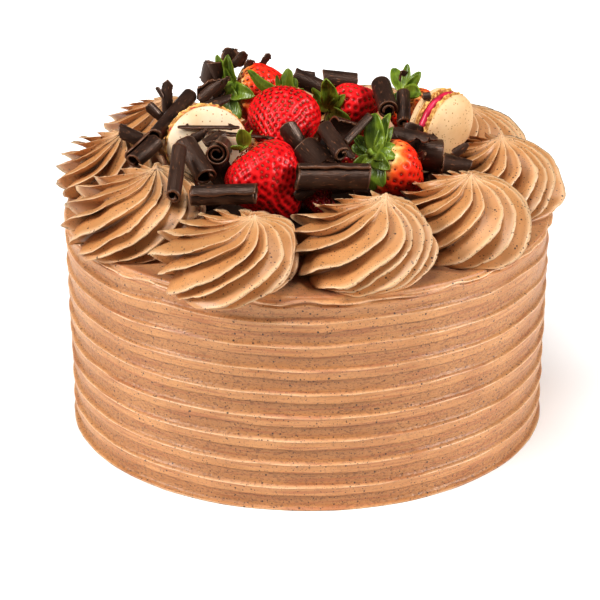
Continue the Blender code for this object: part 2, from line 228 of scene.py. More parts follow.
def add_piece(name, points_mm, faces, material, slot, nodes=(), **numbers):
    """A mesh piece from points in millimetres, riding on the cake and standing for the named CAD nodes.

    Its material reads the numbers, which are one for each point; points past the last one get 0.
    """
    mesh = bpy.data.meshes.new(name)
    mesh.from_pydata((np.asarray(points_mm, float).reshape(-1, 3) * MM).tolist(), [], faces)
    mesh.validate()
    mesh.shade_smooth()
    mesh.materials.append(material)
    piece = add_object(name, mesh)
    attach(piece, "root")
    if nodes:
        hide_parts(*nodes)
    for key, values in numbers.items():
        values = np.pad(np.ravel(values), (0, len(mesh.vertices) - np.size(values)))
        mesh.attributes.new(key, "FLOAT", "POINT").data.foreach_set("value", values.astype(np.float32))
    return piece


def thicken(piece, thickness, offset):
    shell = piece.modifiers.new("thickness", "SOLIDIFY")
    shell.thickness = thickness * MM
    shell.offset = offset


class Look:
    """A Principled material, with short names for the nodes that feed it."""

    def __init__(self, name, roughness, specular=0.5):
        self.material = bpy.data.materials.new(name)
        self.material.use_nodes = True
        self.tree = self.material.node_tree
        self.shader = self.tree.nodes["Principled BSDF"]
        self.feed(self.shader, {"Roughness": roughness, "Specular IOR Level": specular})

    def feed(self, node, inputs):
        """Links sockets to a node's inputs, or gives the inputs their numbers and colours."""
        for key, value in inputs.items():
            if isinstance(value, bpy.types.NodeSocket):
                self.tree.links.new(value, node.inputs[key])
            else:
                colour = node.inputs[key].type == "RGBA"
                node.inputs[key].default_value = (*value, 1) if colour else value

    def node(self, kind, inputs, **settings):
        node = self.tree.nodes.new("ShaderNode" + kind)
        for key, value in settings.items():
            setattr(node, key, value)
        self.feed(node, inputs)
        return node

    def place(self, stretch=(1, 1, 1)):
        """The piece's own coordinates."""
        where = self.node("TexCoord", {}).outputs["Object"]
        return self.node("Mapping", {"Vector": where, "Scale": stretch}).outputs[0]

    def noise(self, scale, detail=2.0, stretch=(1, 1, 1), where=None):
        inputs = {"Vector": where or self.place(stretch), "Scale": scale, "Detail": detail}
        return self.node("TexNoise", inputs).outputs["Fac"]

    def attribute(self, name):
        """Numbers that add_piece() kept."""
        return self.node("Attribute", {}, attribute_name=name).outputs["Fac"]

    def calculate(self, operation, first, second):
        return self.node("Math", {0: first, 1: second}, operation=operation).outputs[0]

    def times(self, first, second):
        return self.calculate("MULTIPLY", first, second)

    def plus(self, first, second):
        return self.calculate("ADD", first, second)

    def ramp(self, value, *stops):
        """A ramp of (place, colour or grey) stops."""
        node = self.node("ValToRGB", {"Fac": value})
        marks = node.color_ramp.elements
        while len(marks) < len(stops):
            marks.new(0.5)
        for mark, (place, colour) in zip(marks, stops):
            mark.position = place
            mark.color = (colour, colour, colour, 1) if isinstance(colour, (int, float)) else (*colour, 1)
        return node.outputs["Color"]

    def patches(self, scale, detail, low, high):
        """Soft patches of two tones."""
        return self.ramp(self.noise(scale, detail), (0.3, low), (0.7, high))

    def mix(self, factor, first, second):
        return self.node("Mix", {0: factor, 6: first, 7: second}, data_type="RGBA").outputs[2]

    def speckles(self, pitch_mm, size, share):
        """1 on small specks: one in a share of cells of the pitch, each of about size cells across."""
        cells = self.node("TexVoronoi", {"Vector": self.place(), "Scale": 1 / (pitch_mm * MM)})
        lot = self.node("SeparateColor", {"Color": cells.outputs["Color"]}).outputs[0]
        wobble = self.times(self.noise(2.5 / (pitch_mm * MM)), size * 0.8)
        reach = self.plus(cells.outputs["Distance"], wobble)
        near = self.ramp(reach, (size * 1.15, 1), (size * 1.6, 0))
        return self.times(near, self.calculate("LESS_THAN", lot, share))

    def finish(self, colour, bump=None, **inputs):
        """Paints the surface, with a bump's height, strength and distance, and the shader's other inputs."""
        self.feed(self.shader, {"Base Color": colour})
        self.feed(self.shader, {key.replace("_", " "): value for key, value in inputs.items()})
        if bump:
            height, strength, distance = bump
            node = self.node("Bump", {"Height": height, "Strength": strength, "Distance": distance})
            self.feed(self.shader, {"Normal": node.outputs[0]})
        return self.material


# Cream: darkest and lightest patch, then the tones that lie on them.
CREAM_TONES = {
    "combed": ((0.5, 0.229, 0.08), (0.62, 0.312, 0.122)),
    "piped": ((0.5, 0.238, 0.086), (0.612, 0.318, 0.13)),
}
# Painted light: the recess, hole, crease and heap tones are painted shade, and the ridge and crest tones are
# painted highlights.
RECESS_SHADE_TONE = (0.38, 0.168, 0.054)
RIDGE_HIGHLIGHT_TONE = (0.93, 0.66, 0.42)
DRAG_TONE = (0.4, 0.14, 0.05)
HOLE_SHADE_TONE = (0.27, 0.115, 0.045)
CREASE_SHADE_TONE = (0.19, 0.062, 0.01)
CREST_HIGHLIGHT_TONE = (0.95, 0.71, 0.46)
SPECK_TONE = (0.05, 0.022, 0.012)
HEAP_SHADE_TONE = (0.085, 0.036, 0.02)
# Pitch in mm, size and share of the specks, and how dark they are.
CREAM_SPECKS = ((0.8, 0.24, 0.42, 0.55), (1.6, 0.18, 0.55, 0.85), (3.6, 0.11, 0.5, 0.95))


def make_cream(kind):
    """Whipped chocolate cream with dark specks; combed cream has drag lines and rougher recesses, painted
    darker as shade.
    """
    look = Look(kind + "_cream", 0.44, 0.75)
    colour = look.patches(45.0, 4.0, *CREAM_TONES[kind])
    grain = look.noise(900.0, 3.0)
    height = look.times(grain, 0.25)
    if kind == "combed":
        recess = look.attribute("recess")
        # Painted shade: the recesses are darkened towards the recess tone.
        recess_shade = look.times(recess, look.plus(0.22, look.times(grain, 0.45)))
        colour = look.mix(recess_shade, colour, RECESS_SHADE_TONE)
        # Painted highlight along the band crests and the lip.
        colour = look.mix(look.times(look.attribute("ridge"), 0.85), colour, RIDGE_HIGHLIGHT_TONE)
        lines = look.noise(1.0, 3.0, (35, 35, 1100))
        height = look.plus(height, lines)
        colour = look.mix(look.ramp(lines, (0.53, 0.0), (0.62, 0.6)), colour, DRAG_TONE)
        pits = look.noise(1.0, 2.0, (700, 700, 1300))
        rough = look.times(pits, look.plus(recess, 0.45))
        height = look.plus(height, look.times(rough, 1.3))
        # Painted shade in the open pits, deeper in the recesses.
        open_pits = look.ramp(pits, (0.34, 0.8), (0.48, 0.0))
        hole_shade = look.times(open_pits, look.plus(look.times(recess, 0.6), 0.35))
        colour = look.mix(hole_shade, colour, HOLE_SHADE_TONE)
    else:
        # Painted shade in the rosettes' creases.
        colour = look.mix(look.times(look.attribute("crease"), 0.9), colour, CREASE_SHADE_TONE)
        # Painted highlight along the crests and on the peak.
        colour = look.mix(look.times(look.attribute("crest"), 0.62), colour, CREST_HIGHLIGHT_TONE)
    specks = [look.times(look.speckles(*sizes), strength) for *sizes, strength in CREAM_SPECKS]
    dots = look.calculate("MAXIMUM", look.calculate("MAXIMUM", *specks[:2]), specks[2])
    colour = look.mix(dots, colour, SPECK_TONE)
    if kind == "combed":
        # Painted shade on the mound under the heap, where the toppings shade it.
        colour = look.mix(look.attribute("dark"), colour, HEAP_SHADE_TONE)
    return look.finish(colour, (height, 0.4, 0.0005), Subsurface_Weight=0.06,
                       Subsurface_Radius=(1.0, 0.42, 0.2), Subsurface_Scale=0.0016,
                       Sheen_Weight=0.2 if kind == "combed" else 0.0)


# The cake's body.

def side_levels():
    """The rows of the side, closer together where the comb and the torn lip leave sharp edges."""
    foot = [0, 0.3, 0.6, 0.9, 1.3, 1.8, 2.6, 3.6, 4.6, 5.4]
    comb = [COMB_FIRST + COMB_PITCH * band + level for band in range(COMB_BANDS) for level, _ in COMB_PROFILE]
    plain = list(np.arange(comb[-1] + 0.4, LIP - 2.0, 0.5))
    edge = [LIP + step for step in (-1.9, -1.5, -1.15, -0.85, -0.6, -0.35, -0.1, 0.15, 0.4, 0.7, 1.0)]
    return np.array(foot + comb + plain + edge)


def side_shape(angle, level):
    """At each angle and level along the comb: how far the side stands out, its height, recess and ridge."""
    around = polar_points(BODY_RADIUS, angle, 0.0)
    lift = level[..., None] * UP
    upper = clamp((level - MERGING_FROM) / MERGING_OVER)
    # Hand-drawn bands: they wave more the higher they are, and the lip goes its own way.
    wave = noise((around + lift * 0.6) / 26, 1) * (0.45 + 1.0 * upper)
    wave += noise((around + lift * 2.0) / 9, 2) * 0.22
    lip_wave = 1.2 * noise(around / 14, 9) + 0.5 * noise(around / 5, 10)
    near_lip = clamp((level - LIP + 6) / 4)
    height = level - (wave * (1 - near_lip) + lip_wave * near_lip) * clamp(level / 4)
    # The comb's own profile, which ends under the lip.
    levels, depths = np.array(COMB_PROFILE).T
    within = np.mod(level - COMB_FIRST, COMB_PITCH)
    comb = np.interp(within, levels, depths, period=COMB_PITCH)
    merged = 1 - upper * (0.25 + 0.4 * noise((around + lift * 1.2) / 22, 3))
    last = COMB_FIRST + COMB_PITCH * (COMB_BANDS - 1) + BAND_END
    comb = np.where(level > last, -COMB_DEPTH * clamp((LIP - 1.5 - level) / 5), comb)
    offset = comb * merged
    # Drag streaks and slow swells.
    streak = 0.17 * noise(around * 0.07 + lift * 1.4, 4) + 0.12 * noise(around * 0.16 + lift * 0.8, 5)
    offset += streak + 0.32 * noise((around + lift) / 18, 6) * upper
    # The tear and its raised edge, then the frayed lip with the groove under it, then the foot.
    tear = level - (TEAR_LEVEL + 2.0 * noise(around / 30, 7))
    gate = clamp(2.4 * noise(around / 16, 8) + 0.4)
    offset -= 0.9 * gate * bell(tear, 0.5)
    offset += 0.5 * gate * bell(tear - 1.1, 0.6)
    frayed = 1.05 + 0.75 * noise(around / 7, 14)
    offset += frayed * clamp(1 - np.abs(level - LIP - 0.1) / 0.8) ** 0.7
    offset -= 0.8 * frayed * bell(level - LIP + 1.2, 0.45)
    offset += 0.5 * clamp(1 - level / 1.3) - 0.2
    # Painted highlights along the crests and the lip, painted shade in the recesses and a painted shaded line
    # under each band.
    ridge = bell(within - BAND_CREST, 0.22) * (level <= last) * clamp(merged)
    ridge = ridge + bell(level - LIP - 0.1, 0.3)
    ridge = ridge * clamp(0.8 + 0.9 * noise(around / 9, 15))
    under = bell(np.mod(within + 1, COMB_PITCH) - 0.9, 0.25) * (level <= last)
    return offset, np.maximum(height, 0), (clamp(-comb / 1.2) + 1.4 * under) * merged, ridge


def mound_level(reach):
    """Height of the cake's top, with the mound under the heap, reach millimetres away from its axis."""
    reaches, swells = np.transpose(MOUND)
    return BODY_TOP + np.interp(reach, reaches, swells)


def make_body(material):
    angles = circle(BODY_COLUMNS)
    angle, level = np.meshgrid(angles, side_levels())
    offset, height, recess, ridge = side_shape(angle, level)
    radius = BODY_RADIUS + BODY_FLARE * height / BODY_TOP + offset
    rows = [polar_points(radius, angle, height)]
    edge, start = radius[-1], height[-1]
    for turn in np.linspace(0.15, 1, RIM_ROWS) * np.pi / 2:
        ring = edge - RIM_EASE * (1 - math.cos(turn))
        rows.append(polar_points(ring, angles, start + (BODY_TOP - start) * math.sin(turn))[None])
    for share in np.linspace(0.985, 0.02, MOUND_ROWS):
        ring = (edge - RIM_EASE) * share
        around = polar_points(ring, angles, 0.0)
        ripple = 0.35 * noise(around / 17, 12) + 0.25 * noise(around / 6, 13)
        rows.append(polar_points(ring, angles, mound_level(ring) + ripple * min(1.0, (1 - share) * 12))[None])
    points, faces = closed_grid(np.concatenate(rows), (0, 0, 0), rows[-1][0].mean(0))
    # Painted shade on the mound under the heap, fading out at its edge.
    distance = np.hypot(points[:, 0], points[:, 1]) + 2.5 * noise(points / 6, 16)
    dark = clamp((HEAP_SHADE_EDGE - distance) / HEAP_SHADE_FADE) * (points[:, 2] > BODY_TOP / 2)
    add_piece("cream_body", points, faces, material, "cream", ["cake_body"],
              recess=recess, ridge=ridge, dark=dark)


# Rosettes.

def squeeze(across, limit):
    """Presses distances from a rosette's middle line in below limit, more the closer they come."""
    share = np.abs(across) / limit
    room = 1 - ROSETTE_SIDE
    pressed = ROSETTE_SIDE + room * (1 - np.exp((ROSETTE_SIDE - share) / room))
    return np.sign(across) * np.where(share > ROSETTE_SIDE, pressed, share) * limit


def fin_layout(rng):
    """For each column of points: its angle before any twist, how deep in a valley it is, and its fin."""
    widths = 1 + 0.4 * rng.uniform(-1, 1, ROSETTE_FINS)
    bounds = np.concatenate([[0], np.cumsum(widths)]) / widths.sum() * 2 * np.pi
    spread = np.linspace(-1, 1, FIN_COLUMNS, endpoint=False)
    spread = np.sign(spread) * np.abs(spread) ** 1.5
    middles, halves = (bounds[:-1] + bounds[1:]) / 2, (bounds[1:] - bounds[:-1]) / 2
    angles = (middles[:, None] + halves[:, None] * spread).ravel()
    return angles, np.tile(np.abs(spread), ROSETTE_FINS), np.repeat(np.arange(ROSETTE_FINS), FIN_COLUMNS)


def make_rosette(number, angle, distance, girth, height, lean_x, lean_y, tip_flare, material):
    """A star-piped swirl: thin fins with sharp crests that wind from its foot to its peak."""
    rng = np.random.default_rng(ROSETTE_SEED + number)
    column_angle, depth, fin = fin_layout(rng)
    stations = smooth_curve(ROSETTE_STATIONS, ROSETTE_ROWS)
    rise, share, lean, lifted = (stations[:, index:index + 1] for index in range(4))
    tall = clamp(rise)
    uneven = rng.uniform(-1, 1, (3, ROSETTE_FINS))[:, fin]
    cut = depth ** 0.66
    # Each column's turn: the twist, the fins' hooked crests and the sweep at the foot.
    hook = FIN_HOOK * (1 + 0.6 * uneven[2]) * (1 - cut) * (1 - 0.5 * tall)
    turn = column_angle + ROSETTE_TWIST * tall + hook + FIN_JITTER * uneven[1] * (1 - tall)
    turn = turn - FOOT_SWEEP * clamp(1 - tall / 0.2) ** 2
    high_side = 0.5 - 0.5 * np.cos(turn - LOW_SIDE)
    # The valleys between the fins: uneven, and shallower at the peak, at the foot and on the low side.
    patch = np.stack(np.broadcast_arrays(fin * 3.7, tall * 3.2, number * 5.3), -1)
    valley = VALLEY_DEPTH * (1 + 0.14 * uneven[0])
    valley = valley * (1 - 0.35 * clamp((tall - 0.8) / 0.2)) * (0.95 + 0.5 * noise(patch, 26))
    valley = valley * (1 - (0.3 + 0.5 * (1 - high_side)) * clamp(1 - tall / 0.17))
    valley = valley * (1 - 0.32 * (1 - high_side))
    radius = girth * share * (1 + 0.04 * uneven[2] * (1 - tall)) * (1 - valley * cut)
    radius = radius * (1 + 0.16 * (1 - high_side) * bell(rise, 0.09))
    # Outward and across from the cake's axis, pressed in beside its neighbours.
    local = Matrix.Rotation(-math.radians(angle), 2) @ Vector((lean_x, lean_y))
    turn_here = turn - math.radians(angle)
    outward = radius * np.cos(turn_here) + local.x * lean
    across = radius * np.sin(turn_here) + local.y * lean
    limit = (distance + outward) * math.tan(math.pi / ROSETTE_COUNT) + NEIGHBOUR_OVERLAP
    across = squeeze(across, np.maximum(limit, 1.0))
    tip = bell(rise - 0.17, 0.1) * bell(depth, 0.42) * (0.2 + 0.9 * high_side)
    flare = girth * tip_flare * tip * (1 + 0.45 * uneven[0])
    outward = outward + flare * np.cos(turn_here)
    across = across + flare * np.sin(turn_here)
    points = np.stack([outward, across, height * rise + TIP_LIFT * high_side * lifted], -1)
    # Swells, chipped crests, and the overhang that sags past the cake's edge.
    home = points + np.array((number * 91.0, 0, 0))
    crest = bell(depth, 0.12)
    for axis in range(3):
        points[..., axis] += 0.95 * noise(home / 10, 20 + axis) * clamp(rise / 0.1)
        points[..., axis] += 0.24 * crest * noise(home / 1.6, 30 + axis)
    x, y, z = np.moveaxis(points, -1, 0)
    z = z - OVERHANG_SAG * np.clip(distance + x - BODY_RADIUS, 0, None) * (1 - tall) ** 2
    turned = spun(x + distance, y, z + (BODY_TOP - ROSETTE_SINK), angle)
    # Painted highlight: the crests and the peak are marked to be painted lighter.
    pale = bell(depth, 0.07) * clamp(rise / 0.1) + clamp((rise - 0.9) / 0.1) * 0.6
    # Painted shade in the deep creases, strongest at the valleys' bottoms and low on the rosette.
    crease = clamp((depth - 0.4) / 0.6) ** 2 * clamp(1.25 - high_side * 0.2 - tall)
    flat, faces = closed_grid(turned, turned[0].mean(0), turned[-1].mean(0))
    node = f"rosette_{number:02d}"
    add_piece("piped_" + node, flat, faces, material, "cream", [node], crest=np.append(clamp(pale), (0, 1)),
              crease=crease)


# Strawberries.

BERRY_TAPER = 0.24
BERRY_SHOULDER = 0.82
BERRY_WIDEST = 0.85
STALK_DIP = 0.06  # of the length
# Middle, axis from tip to stalk, length, width, seed spacing, looks, and how pale the shoulder is.
STRAWBERRIES = {
    "strawberry_front": ((-16.5, -30, 112), (-0.6, 0.3, 0.74), 36, 31, 2.75, "red", 0.0),
    "strawberry_middle": ((-10, 8, 123.5), (0.1, 0.88, 0.3), 32, 29.7, 2.65, "red", 0.0),
    "strawberry_top": ((-19, 38, 126.5), (-0.96, -0.15, 0.2), 30, 24, 3.1, "pale", 0.6),
    "strawberry_right": ((20, 24, 125.5), (-0.93, -0.3, -0.1), 24, 20, 3.3, "red", 0.25),
    "strawberry_right_front": ((36, -17, 110.7), (-0.72, -0.3, 0.63), 29, 24, 3.7, "pale", 0.8),
    "strawberry_far_right": ((46, 27, 120.5), (-0.45, -0.1, 0.85), 26, 21, 3.3, "pale", 0.65),
    # These two berries lie in shade and wear the dark skin, which is painted shade.
    "strawberry_low_front": ((5, -33, 105), (-0.3, 0.7, 0.6), 17, 14, 2.6, "dark", 0.0),
    "strawberry_inner": ((24, 1, 112), (0.9, 0.2, 0.1), 24, 16, 3.0, "dark", 0.0),
    "strawberry_back_left": ((-20, 38, 105), (0.2, -0.75, 0.6), 22, 20, 3.0, "red", 0.4),
    "strawberry_back_right": ((20, 33, 106), (-0.2, -0.75, 0.6), 22, 19, 3.0, "red", 0.4),
}
BERRY_ROWS = 72
BERRY_COLUMNS = 136
SEED_SIZE = (0.42, 0.72, 0.3)  # half of its width, length and thickness
SEED_PROUD = 0.14
HUSK_RINGS, HUSK_COLUMNS = 4, 6
DIMPLE_DEPTH = 0.7
DIMPLE_REACH = 1.0
# Where the pale shoulder starts, how much lower it starts for the palest berry, and where it is palest.
PALE_START, PALE_SPREAD, PALEST = 0.93, 0.42, 0.9
BERRY_SLOTS = {row["node"]: row["material_slot"] for row in frame["record"]["subparts"]}
BERRY_TONES = {  # flesh, ridges between the seeds lighter as a painted highlight, dimples darker as painted shade
    "red": ((0.72, 0.006, 0.01), (0.88, 0.028, 0.03), (0.24, 0.001, 0.002)),
    # The dark skin is the red one in painted shade, for the berries that lie in shade.
    "dark": ((0.24, 0.003, 0.004), (0.36, 0.012, 0.012), (0.12, 0.001, 0.001)),
    "pale": ((0.8, 0.022, 0.008), (0.9, 0.06, 0.02), (0.42, 0.005, 0.002)),
}
# From where the shoulder starts to where it is palest.
PALE_TONES = ((0.0, (0.85, 0.05, 0.012)), (0.4, (0.92, 0.17, 0.03)), (0.75, (0.95, 0.5, 0.16)),
              (1.0, (0.97, 0.8, 0.45)))
HUSK_TONES = ((0.35, (0.22, 0.02, 0.004)), (0.65, (0.45, 0.11, 0.015)))


def frame_along(axis, facing=UP):
    """Columns X, Y and Z of a turned piece: Z along axis, X as near to facing as that allows."""
    up = Vector(axis).normalized()
    ahead = (Vector(facing) - up * up.dot(Vector(facing))).normalized()
    return np.array((ahead, up.cross(ahead), up)).T


def put(points, middle, turn):
    """Local points moved to their place in the cake."""
    return np.asarray(points, float) @ turn.T + np.asarray(middle, float)


def berry_surface(polar, around, length, width):
    """Points of a strawberry's plain surface: polar 0 is the stalk end, pi the tip."""
    up = np.cos(polar)
    narrow = (1 - 2 * BERRY_TAPER * (0.5 - 0.5 * up) ** 1.5) / BERRY_WIDEST
    out = np.sin(polar) ** 0.92 * narrow * width / 2
    return polar_points(out, around, np.where(up < 0, up, up * BERRY_SHOULDER) * length / 2)


def seed_places(length, width, spacing, rng):
    """Seeds in staggered rings from the tip to the shoulder, as polar angles and angles around."""
    polar = np.linspace(0, np.pi, 400)
    line = berry_surface(polar, np.zeros_like(polar), length, width)
    reach = np.concatenate([[0], np.cumsum(np.linalg.norm(np.diff(line, axis=0), axis=1))])
    rings = int(reach[-1] / (spacing * 0.8))
    places = []
    for ring in range(1, rings):
        here = np.interp(ring / rings * reach[-1], reach, polar)
        girth = 2 * np.pi * np.interp(here, polar, line[:, 0])
        count = max(1, round(girth / (spacing * 1.12)))
        for seed in range(count):
            around = 2 * np.pi * (seed + 0.5 * (ring % 2)) / count
            places.append((here + rng.normal(0, 0.014), around + rng.normal(0, 0.035)))
    return np.array(places)


def surface_frame(polar, around, length, width):
    """At each place: the point, the outward normal and the direction towards the tip."""
    step = 1e-3
    sizes = length, width
    down = berry_surface(polar + step, around, *sizes) - berry_surface(polar - step, around, *sizes)
    side = berry_surface(polar, around + step, *sizes) - berry_surface(polar, around - step, *sizes)
    return berry_surface(polar, around, *sizes), unit(np.cross(down, side)), unit(down)


def make_strawberry(name, number, spec, materials, seeds):
    middle, axis, length, width, spacing, looks, pale = spec
    rng = np.random.default_rng(BERRY_SEED + number)
    turn = frame_along(axis)
    places = seed_places(length, width, spacing, rng)
    seed_point, seed_normal, seed_down = surface_frame(places[:, 0], places[:, 1], length, width)
    polar = np.linspace(0.04, np.pi - 0.04, BERRY_ROWS)
    polar, around = np.meshgrid(polar, circle(BERRY_COLUMNS), indexing="ij")
    point, normal, _ = surface_frame(polar, around, length, width)
    flat = point.reshape(-1, 3)
    nearest = np.min([((flat - seed) ** 2).sum(1) for seed in seed_point], 0)
    dimple = np.exp(-((nearest / DIMPLE_REACH**2) ** 1.3)).reshape(polar.shape)
    home = point + number * 50.0
    swell = 0.03 * width * noise(home / (0.45 * width), 40) + 0.1 * noise(home / 1.3, 41)
    point = point + normal * (swell - DIMPLE_DEPTH * dimple)[..., None]
    point[..., 2] -= STALK_DIP * length * bell(polar, 0.35)
    points, faces = closed_grid(point, point[0].mean(0), point[-1].mean(0), flip=True)
    streaks = points / (1.8, 1.8, 14) + number * 9.0
    shoulder = 0.5 + points[:, 2] / length + 0.03 * noise(points / 5, 42) + 0.09 * noise(streaks, 43)
    start = PALE_START - PALE_SPREAD * pale
    shade = clamp((shoulder - start) / (PALEST - start)) * (pale > 0)
    add_piece("ripe_" + name, put(points, middle, turn), faces, materials[looks], BERRY_SLOTS[name], [name],
              dimple=dimple, pale=shade)
    tilt = np.linspace(0, np.pi, HUSK_RINGS + 1)[1:-1]
    tilt, around = np.meshgrid(tilt, circle(HUSK_COLUMNS), indexing="ij")
    husk, husk_faces = closed_grid(polar_points(np.sin(tilt), around, np.cos(tilt)), (0, 0, 1), (0, 0, -1))
    for spot, outward, down in zip(seed_point, seed_normal, seed_down):
        axes = np.stack([np.cross(outward, down), down, outward])
        local = (husk * SEED_SIZE) @ axes + spot - outward * (DIMPLE_DEPTH - SEED_PROUD)
        seeds.append((put(local, middle, turn), husk_faces, {}))


def make_berry_skin(looks):
    flesh, ridge, pit = BERRY_TONES[looks]
    look = Look(f"strawberry_skin_{looks}", 0.34, 0.32)
    pale = look.attribute("pale")
    # The ridges between the seeds are painted lighter as highlight and the dimples darker as shade.
    colour = look.ramp(look.attribute("dimple"), (0.0, ridge), (0.32, flesh), (0.85, pit))
    patch = look.ramp(look.noise(160.0, 3.0), (0.35, 0.0), (0.75, 0.5))
    colour = look.mix(patch, colour, tuple(1.15 * c for c in flesh))
    colour = look.mix(look.ramp(pale, (0.0, 0.0), (0.35, 0.9)), colour, look.ramp(pale, *PALE_TONES))
    return look.finish(colour, (look.noise(1400.0), 0.25, 0.0003), Subsurface_Weight=0.15,
                       Subsurface_Radius=(1.0, 0.25, 0.18), Subsurface_Scale=0.0012)


def make_strawberries():
    materials = {looks: make_berry_skin(looks) for looks in BERRY_TONES}
    seeds = []
    for number, (name, spec) in enumerate(STRAWBERRIES.items()):
        make_strawberry(name, number, spec, materials, seeds)
    look = Look("seed_husk", 0.35)
    husk = look.finish(look.ramp(look.noise(300.0), *HUSK_TONES))
    points, faces, _ = joined(seeds)
    add_piece("strawberry_seeds", points, faces, husk, "berry")


# Sepals.

CALYX_HUB = 2.4
CALYX_LIFT = 0.55
# Radius and height along the stalk's end: a cut stub, a longer one and a round bud.
STUB = ((0.0, -0.8), (2.3, -0.6), (2.2, 0.2), (1.2, 0.9), (1.0, 1.0), (1.15, 1.4), (0.6, 1.7), (0.0, 1.8))
KNOB = ((0.0, -0.8), (2.3, -0.6), (2.2, 0.2), (1.3, 0.9), (1.1, 2.1), (1.4, 3.4), (0.8, 4.0), (0.0, 4.2))
BUD = ((0.0, -0.8), (2.6, -0.6), (3.6, 0.8), (3.8, 2.4), (3.1, 4.2), (1.5, 5.2), (0.0, 5.5))
STALK_ROWS, STALK_COLUMNS = 22, 14
LEAF_THICKNESS = 0.5
LEAF_ROWS = 18
LEAF_COLUMNS = 9
SEPAL_SHARE = 0.44
# Each calyx: its strawberry, its stalk's end, and its sepals as azimuth from the upper side, length in mm,
# rise, curl along its length, relative width, and turn about its own rib. The angles are in degrees.
CALYXES = {
    "calyx_front": ("strawberry_front", STUB, (
        (328, 8.5, 30, 15, 1.5, -40), (272, 5, 20, 20, 1.3, 0), (40, 6, 30, 0, 1.2, 0),
        (130, 6, 20, 0, 1.2, 0))),
    "calyx_middle": ("strawberry_middle", STUB, (
        (0, 12.5, 15, 10, 1, -10), (20, 8.5, 40, 0, 1.1, 0), (54, 7, 15, 0, 1, 0), (120, 7, 20, 0, 1, 0),
        (200, 7, 20, 0, 1, 0), (304, 19, 8, 15, 0.58, 10), (336, 10, 20, 0, 0.6, 0))),
    "calyx_top": ("strawberry_top", BUD, (
        (8, 14, 44, -15, 0.85, 60), (350, 14, 28, -15, 0.8, 60), (280, 15, 5, -65, 1.1, -10),
        (262, 9, 20, -60, 1.2, 0), (228, 13.5, 15, -60, 1.2, -50), (195, 13, 15, -55, 1.3, -55),
        (140, 10, 15, -50, 1.2, -45), (80, 10, 10, -50, 1.2, 0))),
    "calyx_right": ("strawberry_right", STUB, (
        (340, 15.5, 5, 10, 1, 65), (355, 12, 35, 0, 0.8, -60), (70, 11, 55, 0, 1.1, 40),
        (316, 10, -5, -35, 1, 35), (256, 9, -5, -50, 1.5, -20), (215, 8, 20, -40, 1.3, -50),
        (68, 10, 30, -20, 1.1, 0), (136, 11, 15, -30, 1.2, 20))),
    "calyx_right_front": ("strawberry_right_front", KNOB, (
        (24, 15, 25, 10, 1.25, 30), (8, 16, 15, 0, 0.6, 45), (4, 11.5, 5, -10, 0.7, 50),
        (104, 9, 30, 10, 1.2, 0), (68, 9.5, 40, 10, 1, 30), (86, 9, 50, 0, 0.9, 20),
        (335, 8, 10, -70, 1.6, 35), (300, 8.5, 10, -70, 1.6, 0), (264, 9, 10, -60, 1.6, 0),
        (232, 12, 0, -55, 1.5, -25), (205, 12, -5, -45, 1.5, -40), (160, 11, 15, -40, 1.4, -45))),
    "calyx_far_right": ("strawberry_far_right", STUB, (
        (0, 9, 25, 0, 1.2, 50), (48, 11, 25, 25, 0.8, 20), (84, 13.5, 25, 0, 0.9, 10),
        (200, 7, 10, -20, 1.2, -45), (294, 11.5, 5, 0, 1.2, 40), (330, 9, 30, 0, 1, 60))),
}


def sepal(azimuth, length, rise, curl, width, roll, seed):
    """A pointed leaf that leaves the hub at its azimuth: points, faces, and the numbers for its material."""
    share = np.linspace(0, 1, LEAF_ROWS)
    slope = np.radians(rise + curl * share)
    step = (length + CALYX_HUB * 0.7) / (LEAF_ROWS - 1)
    reach = CALYX_HUB * 0.3 + np.concatenate([[0], np.cumsum(np.cos(slope[:-1]) * step)])
    lift = np.concatenate([[0], np.cumsum(np.sin(slope[:-1]) * step)])
    oval = np.sin(np.pi * share ** 0.9) ** 0.55
    half = (SEPAL_SHARE * width * length / 2 * (oval + 0.34 * (1 - share) ** 2))[:, None]
    along, across = np.meshgrid(share, np.linspace(-1, 1, LEAF_COLUMNS), indexing="ij")
    home = np.stack([along * length / 3.5, across, np.full_like(along, seed * 7.3)], -1)
    # Folded up from its rib, with a ruffled edge, bent to one side, then rolled about the rib.
    above = 0.34 * half * np.abs(across) ** 1.3 + 0.3 * half * noise(home, 50) * across**2
    bend = 0.1 * length * noise(home * (1, 0, 1) * 0.6, 51) * along
    tilt = math.radians(roll)
    up = lift[:, None] + above * math.cos(tilt) + half * across * math.sin(tilt)
    sideways = half * across * math.cos(tilt) - above * math.sin(tilt) + bend
    points = spun(reach[:, None], sideways, up, azimuth).reshape(-1, 3)
    return points, grid_faces(LEAF_ROWS, LEAF_COLUMNS, False), {"side": np.abs(across), "share": along}


def make_calyx(name, number, spec, material, stalk_material):
    berry, stalk, leaves = spec
    middle, axis, length = STRAWBERRIES[berry][:3]
    turn = frame_along(axis)
    hub = middle + turn[:, 2] * (BERRY_SHOULDER * length / 2 + CALYX_LIFT)
    points, faces, numbers = joined([sepal(*leaf, number * 10 + index) for index, leaf in enumerate(leaves)])
    piece = add_piece("green_" + name, put(points, hub, turn), faces, material, "leaf", [name], **numbers)
    thicken(piece, LEAF_THICKNESS, 0)
    profile = smooth_curve(stalk, STALK_ROWS)
    rings = polar_points(profile[:, :1], circle(STALK_COLUMNS), profile[:, 1:])
    bend = np.array((0.25, 0.1, 0)) * (rings[..., 2:] / 3) ** 2
    add_piece("stalk_" + name[6:], put((rings + bend).reshape(-1, 3), hub, turn),
              grid_faces(STALK_ROWS, STALK_COLUMNS), stalk_material, "leaf")


